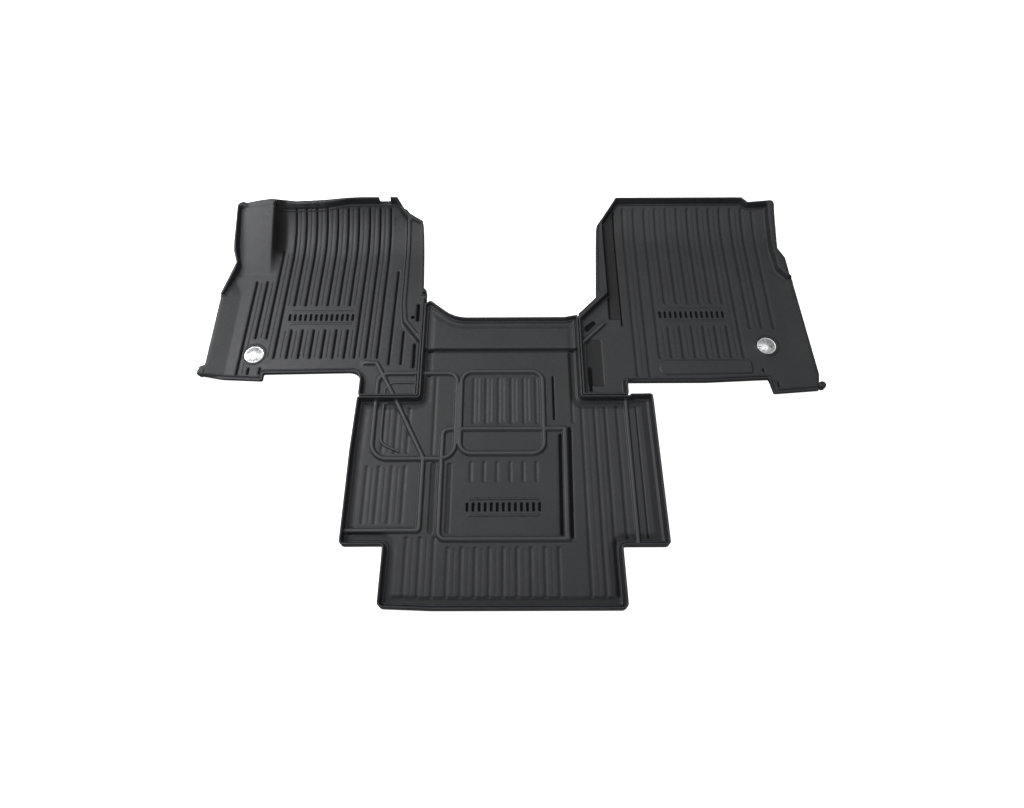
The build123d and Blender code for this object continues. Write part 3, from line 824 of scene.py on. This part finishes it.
def make_resin():
    """Clear domed resin over the disc, with a faint haze."""
    nodes = Nodes("clear_resin")
    haze = nodes.noise(70.0, 3.0)
    nodes.set("Base Color", nodes.blend(haze, (0.95, 0.96, 0.97), (1.0, 1.0, 1.0)))
    nodes.set("Roughness", nodes.spread(haze, 0.3, 0.7, 0.03, 0.07))
    nodes.set("Alpha", 0.15)
    nodes.set("Normal", nodes.bump(nodes.noise(40.0, 2.0), 0.03, 0.0005))
    return nodes.material


def make_adhesive():
    """Grey foam adhesive pad with open pores."""
    nodes = Nodes("foam_adhesive")
    pores = nodes.noise(1400.0, 3.0)
    nodes.set("Base Color", nodes.blend(pores, (0.09, 0.09, 0.09), (0.16, 0.16, 0.16)))
    nodes.set("Roughness", nodes.spread(pores, 0.3, 0.7, 0.8, 0.95))
    nodes.set("Normal", nodes.bump(pores, 0.5, 0.0002))
    return nodes.material


rubber = make_rubber()
metal = make_metal()
resin = make_resin()
adhesive = make_adhesive()

# ---- camera -----------------------------------------------------------------------------------

# An eye-level camera that stands behind the centre mat and looks down at the set.
CAMERA_X = 18.2
CAMERA_Y = -314.4
CAMERA_HEIGHT = 1800.0
CAMERA_DOWN = 63.0
CAMERA_RIGHT = 0.27
CAMERA_LENS = 23.36

camera_data = bpy.data.cameras.new("camera")
camera_data.sensor_width = 36
camera_data.lens = CAMERA_LENS
camera = bpy.data.objects.new("camera", camera_data)
camera.location = Vector((CAMERA_X + CAB_X, CAMERA_Y + CAB_Y, CAMERA_HEIGHT)) / 1000
camera.rotation_euler = (math.radians(90 - CAMERA_DOWN), 0, math.radians(-CAMERA_RIGHT))
bpy.context.scene.collection.objects.link(camera)
bpy.context.scene.camera = camera

# ---- centre mat -------------------------------------------------------------------------------

# the beads' middles, across and along the cab
LEFT_LOOP_X = -390.0
MIDDLE_BAR_X = (-145.0, -132.0)
CONSOLE_RIGHT_X = 117.0
PANEL_LEFT_X = -183.0
PANEL_RIGHT_X = 176.0
PANEL_LEAN = 1.2

centre_relief = Relief(soft=True)
rear_rows = [-4 + CENTRE_PITCH * k for k in range(-7, 5)]
centre_relief.rows([x for x in rear_rows if x > -178], 26, 161)
centre_relief.rows([x for x in rear_rows if x < -178], 26, 190)
centre_relief.rows([232, 271, 303], 26, 588)
centre_relief.rows([-98 + CENTRE_PITCH * k for k in range(6)], 350, 412, fine=False)
centre_relief.rows([-94 + CENTRE_PITCH * k for k in range(6)], 534, 690, fine=False)
for k in range(5):
    centre_relief.bead([(-75 + CENTRE_PITCH * k, 542, 0), (-75 + CENTRE_PITCH * k, 684, 0)], *THIN_RIB)
centre_relief.rows([-360, -323, -286], 440, 590)
centre_relief.rows([-211], 434, 694, fine=False)
centre_relief.rows([-397, -362, -325, -288], 228, 400)
centre_relief.rows([338], 182, 592, fine=False)
centre_relief.rows([204], 535, 780, fine=False)
centre_relief.groove(149, 545, 696, 7, 5)
centre_relief.groove(163, 192, 500, 13, DEEPEST, PANEL_LEAN)
centre_relief.groove(191, 184, 522, 10, DEEPEST, PANEL_LEAN)
centre_relief.groove(396, 182, 592, 6, 2.5)
centre_relief.pad(box_corners(-213, -197, 200, 410, 7), *SUNK)
centre_relief.pad(box_corners(-166, -152, 200, 408, 6), *SUNK)
centre_relief.pad(box_corners(-270, 250, 790, 960, 4), PANEL_RISE, 6)
centre_relief.pad(box_corners(-254, 231, 782, 788, 2), -2.2, 3)
centre_relief.plaque(-3, 275)
centre_relief.bead([(-331, 616, 0), (-237, 424, 8), (-237, 208, 8), (-443, 208, 0)])
centre_relief.bead(
    [
        (-257, 706, 0),
        (MIDDLE_BAR_X[0], 706, 30),
        (MIDDLE_BAR_X[0], 421, 46),
        (LEFT_LOOP_X, 421, 50),
        (LEFT_LOOP_X, 616, 0),
    ]
)
centre_relief.bead([(-366, 600, 0), (-366, 470, 34), (-310, 445, 0)], *SMALL_BEAD)
centre_relief.bead(
    [
        (MIDDLE_BAR_X[1], 580, 0),
        (MIDDLE_BAR_X[1], 711, 34),
        (CONSOLE_RIGHT_X, 711, 34),
        (CONSOLE_RIGHT_X, 437, 36),
        (MIDDLE_BAR_X[1], 437, 34),
        (MIDDLE_BAR_X[1], 590, 0),
    ]
)
centre_relief.bead([(sum(MIDDLE_BAR_X) / 2, 470, 0), (sum(MIDDLE_BAR_X) / 2, 665, 0)], 20)
centre_relief.bead(
    [
        (PANEL_RIGHT_X, 516, 0),
        (PANEL_LEFT_X, 516, 20),
        (PANEL_LEFT_X, 183, 20),
        (PANEL_RIGHT_X, 183, 0),
    ]
)
centre_relief.bead([(PANEL_RIGHT_X - 3, 183, 0), (PANEL_RIGHT_X + 3, 516, 0)], 20)
centre_relief.bead([(367, 160, 0), (367, 616, 0)], 15, 6)


def centre_floor(points):
    """Height of the centre mat's floor."""
    return np.full(len(points), FLOOR)


def centre_rim(points):
    """Height of the centre mat's rim."""
    return np.full(len(points), RIM_TOP)


def centre_under(points):
    """Height of the centre mat's underside."""
    return np.zeros(len(points))


centre_tray = [tuple(point) + (0,) for point in trace(centre_outline, RIM_WALL)]
build_mat(
    "centre_mat",
    "centre",
    centre_outline,
    centre_tray,
    TROUGH_SECTION,
    centre_floor,
    centre_rim,
    centre_relief,
    Relief(),
    centre_under,
    [],
)

# ---- driver mat -------------------------------------------------------------------------------

# distance right of the foot rest's upper edge, and share of its height there: a wall with a wide foot
FOOT_DRAFT = [(-3, 1.0), (0, 0.97), (3, 0.82), (10, 0.42), (17, 0.2), (26, 0.07), (38, 0.0)]
# how far the foot rest's top falls away across its width, and the share of the width where it is highest
FOOT_CROWN = 11.0
FOOT_CREST = 0.85
FOOT_SLOPE = (FOOT_TOP - FLOOR) / (DRIVER_FRONT_Y - FOOT_BACK)
SILL_SLOPE = (SILL_EDGE_TOP - FLOOR) / (SILL_CREASE_X - SILL_EDGE_X)
ledge_hollow = [(-326, 966, 3), (-274, 1026, 3), (-284, 1268, 3), (-326, 1288, 3)]


def sill_crease(y):
    """Where the driver's sill flange starts to rise: straight, then curving out to the foot rest."""
    return SILL_CREASE_X - (SILL_CREASE_X - FOOT_LEFT) * ease(1000, FOOT_BACK, y)


def driver_floor(points):
    """Height of the driver mat's floor, with its sill flange and foot rest."""
    x, y = points.T
    level = FLOOR + toe_height(y, DRIVER_TOE)
    level = level + np.maximum(sill_crease(y) - x, 0) * SILL_SLOPE
    across = (x - FOOT_LEFT) / (FOOT_RIGHT - FOOT_LEFT)
    crown = FOOT_CROWN * (across - FOOT_CREST) ** 2 * ease(FOOT_BACK, 1180, y)
    foot = FLOOR + (y - FOOT_BACK) * FOOT_SLOPE - crown
    share = section(FOOT_DRAFT, x - FOOT_RIGHT)
    return level + np.maximum(foot - level, 0) * share


def driver_rim(points):
    """Height of the driver mat's rim, low along the rear edge and tall beside the foot rest."""
    x, y = points.T
    toe = toe_height(y, DRIVER_TOE)
    level = RIM_TOP + toe
    rear = y < DRIVER_REAR_RIM_Y
    low = DRIVER_REAR_RIM_TOP + (RIM_TOP - DRIVER_REAR_RIM_TOP) * ease(-482, -441, x)
    level = np.where(rear & (x < -440), low, level)
    level = np.where(rear & (x < -752), THIN_LIP_TOP, level)
    beside = (FOOT_WALL_TOP - RIM_TOP) / (DRIVER_FRONT_Y - FOOT_BACK + FOOT_WALL_START)
    wall = RIM_TOP + beside * (y - FOOT_BACK + FOOT_WALL_START) - FOOT_WALL_DROP * ease(1316, 1336, y)
    level = np.where((y > FOOT_BACK - FOOT_WALL_START) & (x < FOOT_WALL_RIGHT), wall, level)
    front = y > DRIVER_FRONT_Y - FRONT_RIM_DEPTH
    across = np.interp(x, FRONT_RIM_X, FRONT_RIM_TOP)
    sloping = FLOOR + toe + FRONT_RIM_STEP + FRONT_RIM_SLOPE * np.maximum(y - FRONT_RIM_FOOT_Y, 0)
    level = np.where(front & (x > FOOT_RIGHT), np.minimum(np.minimum(level, across), sloping), level)
    on_foot_rest = (x > FOOT_WALL_RIGHT) & (x <= FOOT_RIGHT)
    level = np.where(front & on_foot_rest, driver_floor(points) + 0.5, level)
    notch = front & (x < NOTCH_RIGHT) & (x > NOTCH_LEFT)
    return np.where(notch, FLOOR + toe, level)


def driver_under(points):
    """Height of the driver mat's underside: hollow under the ledge, the foot rest and the sill flange."""
    x, y = points.T
    level = toe_height(y, DRIVER_TOE)
    level = level + np.maximum(sill_crease(y) - x - SILL_UNDER_INSET, 0) * SILL_SLOPE * (y < FOOT_BACK - 1)
    foot = (y - FOOT_BACK - FOOT_WALL_START) * FOOT_SLOPE
    share = ease(FOOT_HOLLOW_LEFT, FOOT_HOLLOW_LEFT + 8, x) * ease(FOOT_RIGHT - 2, FOOT_RIGHT - 10, x)
    share = share * ease(DRIVER_FRONT_Y - 3, DRIVER_FRONT_Y - 9, y)
    level = level + np.maximum(foot - level, 0) * share
    hollow = depth(points, trace(ledge_hollow))
    return level + (RIM_TOP - LEDGE_RECESS - SHEET) * ease(-1, 3, hollow)


def foot_shade(points):
    """Share of shade along the foot of the foot rest's wall, where little light gets in."""
    x, y = points.T
    aside = np.interp(x - FOOT_RIGHT, (-4, 4, 34, 50, 66), (0, 0.95, 0.9, 0.35, 0))
    return aside * ease(1130, 1190, y)


driver_relief = Relief()
driver_relief.shade = foot_shade
driver_relief.flush = trace(box_corners(FOOT_FLUSH_LEFT, FOOT_RIGHT, FOOT_BACK, FOOT_FLUSH_FRONT, 4))
driver_rows = [-829 + DRIVER_PITCH * k for k in range(14)]
driver_relief.rows(driver_rows[0:1], 703, 1065, DRIVER_LEAN)
driver_relief.rows(driver_rows[1:2], 836, 1065, DRIVER_LEAN)
driver_relief.rows(driver_rows[2:3], 836, 1190, DRIVER_LEAN)
driver_relief.rows([x - 5 for x in driver_rows[1:3]], 705, 731, DRIVER_LEAN, False)
driver_relief.rows(driver_rows[3:13], 762, 1333, DRIVER_LEAN, gaps=[(-705, -480, 872, 962)])
driver_relief.rows(driver_rows[13:14], 738, 1105, DRIVER_LEAN)
driver_relief.groove(-324, 738, 865, lean=DRIVER_LEAN)
for x, y_from, y_to in ((-811, 710, 1060), (-774, 840, 1060), (-739, 766, 1183)):
    driver_relief.groove(x, y_from, y_to, FINE_GROOVE, FINE_DEPTH, DRIVER_LEAN)
driver_relief.groove(-285, 727, 817, *DEEP_SLOT)
driver_relief.plaque(-594, 917)
driver_relief.badge_seat(DRIVER_BADGE)
driver_relief.bead([(-437, 744, 0), (-399, 744, 8), (-334, 620, 0)])
driver_relief.bead([(-264, 706, 0), (LEFT_LOOP_X, 706, 34), (LEFT_LOOP_X, 620, 0)])
driver_relief.bead([(-266, 674, 0), (-366, 674, 30), (-366, 620, 0)], *SMALL_BEAD)
for aside in [FOOT_DRAFT[0][0] - GUARD] + [pair[0] for pair in FOOT_DRAFT]:
    edge = [(FOOT_RIGHT + aside, FOOT_BACK - 2, 0), (FOOT_RIGHT + aside, 1347, 0)]
    driver_relief.lines.append((trace(edge, closed=False, reach=12), False))
for y in (FOOT_BACK - 3, FOOT_BACK, FOOT_BACK + 4, 1338, 1342):
    driver_relief.lines.append((trace([(-905, y, 0), (FOOT_RIGHT + 8, y, 0)], closed=False), False))
for out in (0, 4):
    crease = [(SILL_CREASE_X - out, 700, 0), (SILL_CREASE_X - out, 1000, 60), (FOOT_LEFT, FOOT_BACK, 0)]
    driver_relief.lines.append((trace(crease, closed=False), False))
for x in (-429, -427, -392, -390):
    driver_relief.lines.append((trace([(x, 1336, 0), (x, 1349.6, 0)], closed=False, reach=3), False))

# the ledge's top is sunk inside a lip, with a slot, a square hole and a round boss with a hole in it
driver_crown = Relief(LEDGE_DEEPEST)
driver_crown.pad(
    [
        (-269, 834, 4),
        (-269, 984, 5),
        (-277, 1003, 5),
        (-286, 1272, 5),
        (-320, 1288, 5),
        (-320, 962, 20),
        (-313, 896, 16),
    ],
    -LEDGE_RECESS,
    4,
)
driver_crown.groove(-279, 892, 958, 10, 12)
driver_crown.pad(box_corners(-300, -290, 901, 911, 2), -7, 2)
driver_crown.pad(circle_corners((-266, 996), 8), 3, 3)
driver_crown.pad(circle_corners((-263, 997), 4), -9, 2)

driver_under_lines = [(trace(ledge_hollow, shift), True) for shift in (-1, 3)]
for x in (FOOT_HOLLOW_LEFT, FOOT_HOLLOW_LEFT + 8, FOOT_RIGHT - 10, FOOT_RIGHT - 2):
    line = trace([(x, FOOT_BACK + 2, 0), (x, 1347, 0)], closed=False, reach=12)
    driver_under_lines.append((line, False))
for y in (FOOT_BACK + FOOT_WALL_START, DRIVER_FRONT_Y - 9, DRIVER_FRONT_Y - 3):
    driver_under_lines.append((trace([(-905, y, 0), (FOOT_RIGHT, y, 0)], closed=False), False))

build_mat(
    "driver_mat",
    "driver",
    driver_outline,
    driver_tray,
    FOOT_SECTION,
    driver_floor,
    driver_rim,
    driver_relief,
    driver_crown,
    driver_under,
    driver_under_lines,
)

# ---- passenger mat ----------------------------------------------------------------------------

flange_hollow = [(305, 1000, 3), (333, 1006, 3), (333, 1287, 3), (321, 1266, 3)]


def passenger_floor(points):
    """Height of the passenger mat's floor, with its sill flange."""
    x, y = points.T
    level = FLOOR + toe_height(y, PASSENGER_TOE)
    return level + np.maximum(x - PASSENGER_CREASE_X, 0) * PASSENGER_SILL_SLOPE * ease(1080, 1050, y)


def passenger_rim(points):
    """Height of the passenger mat's rim, low along the rear edge."""
    x, y = points.T
    level = RIM_TOP + toe_height(y, PASSENGER_TOE)
    low = PASSENGER_REAR_RIM_TOP + (RIM_TOP - PASSENGER_REAR_RIM_TOP) * ease(390, 377, x)
    level = np.where((y < 720) & (x > 374), low, level)
    return np.where((y < 700) & (x > 822), THIN_LIP_TOP, level)


def passenger_under(points):
    """Height of the passenger mat's underside, hollow under the left flange."""
    level = toe_height(points[:, 1], PASSENGER_TOE)
    hollow = depth(points, trace(flange_hollow))
    return level + (RIM_TOP - FLANGE_RECESS - SHEET) * ease(-1, 3, hollow)


passenger_relief = Relief(soft=True)
passenger_rows = [413.4 + PASSENGER_PITCH * k for k in range(13)]
passenger_relief.rows(passenger_rows[:2], 692, 1353)
passenger_relief.rows(passenger_rows[2:10], 758, 1353, gaps=[(489, 725, 880, 966)])
passenger_relief.rows(passenger_rows[10:12], 868, 1353)
passenger_relief.rows(passenger_rows[12:], 868, 1340, fine=False)
passenger_relief.groove(342, 905, 1290, 7, 5)
passenger_relief.groove(379, 880, 1345, 6, 5)
passenger_relief.pad(box_corners(345, 376, 905, 1340, 6), *SUNK)
passenger_relief.pad(box_corners(258, 308, 660, 827, 8), *SUNK)
passenger_relief.groove(266, 641, 726, *DEEP_SLOT)
passenger_relief.pad([(485, 698, 20), (772, 703, 10), (772, 750, 10), (485, 750, 24)], HEEL_PAD_RISE, 6)
passenger_relief.pad([(258, 850, 6), (297, 892, 6), (288, 900, 6), (258, 876, 6)], -5, 4)
passenger_relief.groove(806, 707, 721, 8, 4)
passenger_relief.groove(844, 654, 674, 6, 4)
passenger_relief.plaque(607, 923)
passenger_relief.badge_seat(PASSENGER_BADGE)
passenger_relief.bead([(247, 815, 0), (319, 887, 0)])

# the flange beside the engine cover is sunk inside a lip
passenger_crown = Relief()
passenger_crown.pad([(308, 1000, 4), (331, 1006, 4), (331, 1284, 1), (323, 1268, 2)], -FLANGE_RECESS, 3)

build_mat(
    "passenger_mat",
    "passenger",
    passenger_outline,
    passenger_tray,
    FOOT_SECTION,
    passenger_floor,
    passenger_rim,
    passenger_relief,
    passenger_crown,
    passenger_under,
    [(trace(flange_hollow, shift), True) for shift in (-1, 3)],
)

# ---- pegs and medallions ----------------------------------------------------------------------

peg_profile = [
    (0, 0.5),
    (PEG_RADIUS - 1, 0.5),
    (PEG_RADIUS, 1.5),
    (PEG_RADIUS, PEG_TOP - 5),
    (PEG_RADIUS - 0.8, PEG_TOP - 2.2),
    (PEG_RADIUS - 3, PEG_TOP - 0.4),
    (PEG_RADIUS - 5, PEG_TOP),
    (3, PEG_TOP),
    (2.4, PEG_TOP - 2),
    (0, PEG_TOP - 2),
]
lathe("driver_corner_peg", "driver", DRIVER_PEG, peg_profile, rubber)
lathe("passenger_corner_peg", "passenger", PASSENGER_PEG, peg_profile, rubber)

disc_profile = [
    (0, PAD_TOP),
    (BADGE_RADIUS - 0.4, PAD_TOP),
    (BADGE_RADIUS, PAD_TOP + 0.4),
    (BADGE_RADIUS, DISC_TOP - 0.4),
    (BADGE_RADIUS - 0.4, DISC_TOP),
    (BADGE_RADIUS - 3.0, DISC_TOP),
    (BADGE_RADIUS - 3.4, DISC_TOP - 0.5),
    (BADGE_RADIUS - 4.4, DISC_TOP - 0.5),
    (BADGE_RADIUS - 4.8, DISC_TOP),
    (0, DISC_TOP),
]
cover_profile = [
    (0, DISC_TOP),
    (BADGE_RADIUS - 1.0, DISC_TOP),
    (BADGE_RADIUS - 1.0, DISC_TOP + 0.5),
    (BADGE_RADIUS - 1.6, DISC_TOP + 1.2),
    (BADGE_RADIUS - 4.0, DISC_TOP + 1.75),
    (BADGE_RADIUS - 11.0, DISC_TOP + 2.1),
    (0, DISC_TOP + 2.2),
]
pad_profile = [
    (0, POCKET_FLOOR),
    (BADGE_RADIUS - 1.6, POCKET_FLOOR),
    (BADGE_RADIUS - 1.4, POCKET_FLOOR + 0.5),
    (BADGE_RADIUS - 1.6, PAD_TOP),
    (0, PAD_TOP),
]
for seat, centre in (("driver", DRIVER_BADGE), ("passenger", PASSENGER_BADGE)):
    layers = (
        ("adhesive_pad", pad_profile, adhesive, "badge_adhesive"),
        ("disc", disc_profile, metal, "badge_metal"),
        ("cover", cover_profile, resin, "badge_cover"),
    )
    for layer, profile, material, slot in layers:
        piece = lathe(f"{seat}_medallion_{layer}", seat, centre, profile, material)
        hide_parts(f"{seat}_badge_{layer}")

# ---- floor and light --------------------------------------------------------------------------


def make_stage_floor():
    """Plain pale floor under the set."""
    nodes = Nodes("pale_floor")
    tint = nodes.noise(3.0, 2.0)
    nodes.set("Base Color", nodes.blend(tint, (0.93, 0.93, 0.93), (0.95, 0.95, 0.95)))
    nodes.set("Roughness", nodes.spread(tint, 0.3, 0.7, 0.85, 0.95))
    nodes.set("Specular IOR Level", 0.1)
    nodes.set("Emission Color", (1.0, 1.0, 1.0))
    nodes.set("Emission Strength", 0.9)
    mesh = bpy.data.meshes.new("stage_floor")
    reach = 30.0
    corners = [(-reach, -reach, 0), (reach, -reach, 0), (reach, reach, 0), (-reach, reach, 0)]
    mesh.from_pydata(corners, [], [(0, 1, 2, 3)])
    mesh.materials.append(nodes.material)
    floor = bpy.data.objects.new("stage_floor", mesh)
    bpy.context.scene.collection.objects.link(floor)
    floor.visible_glossy = False
    floor.visible_diffuse = False


def add_light(name, place, target, size, power):
    """Round soft light that faces a point."""
    data = bpy.data.lights.new(name, "AREA")
    data.shape = "DISK"
    data.size = size
    data.energy = power
    light = bpy.data.objects.new(name, data)
    light.location = place
    light.rotation_euler = (Vector(target) - Vector(place)).to_track_quat("-Z", "Y").to_euler()
    bpy.context.scene.collection.objects.link(light)


make_stage_floor()
world = bpy.data.worlds.new("studio")
world.use_nodes = True
world.node_tree.nodes["Background"].inputs["Color"].default_value = (1, 1, 1, 1)
world.node_tree.nodes["Background"].inputs["Strength"].default_value = 0.2
bpy.context.scene.world = world
bpy.context.scene.view_settings.view_transform = "Standard"
add_light("ceiling", (0.9, 1.3, 3.3), (0.6, 1.0, 0.0), 3.2, 42)
add_light("window", (-2.1, 1.5, 2.4), (-0.95, 0.5, 0.0), 1.5, 42)
add_light("overhead", (-1.8, 0.8, 3.0), (-0.9, 0.7, 0.0), 1.0, 26)
add_light("side", (-3.0, 0.8, 1.7), (-0.95, 0.7, 0.0), 1.1, 34)
add_light("fill", (0.3, -3.4, 1.3), (0.2, 0.4, 0.0), 1.6, 16)
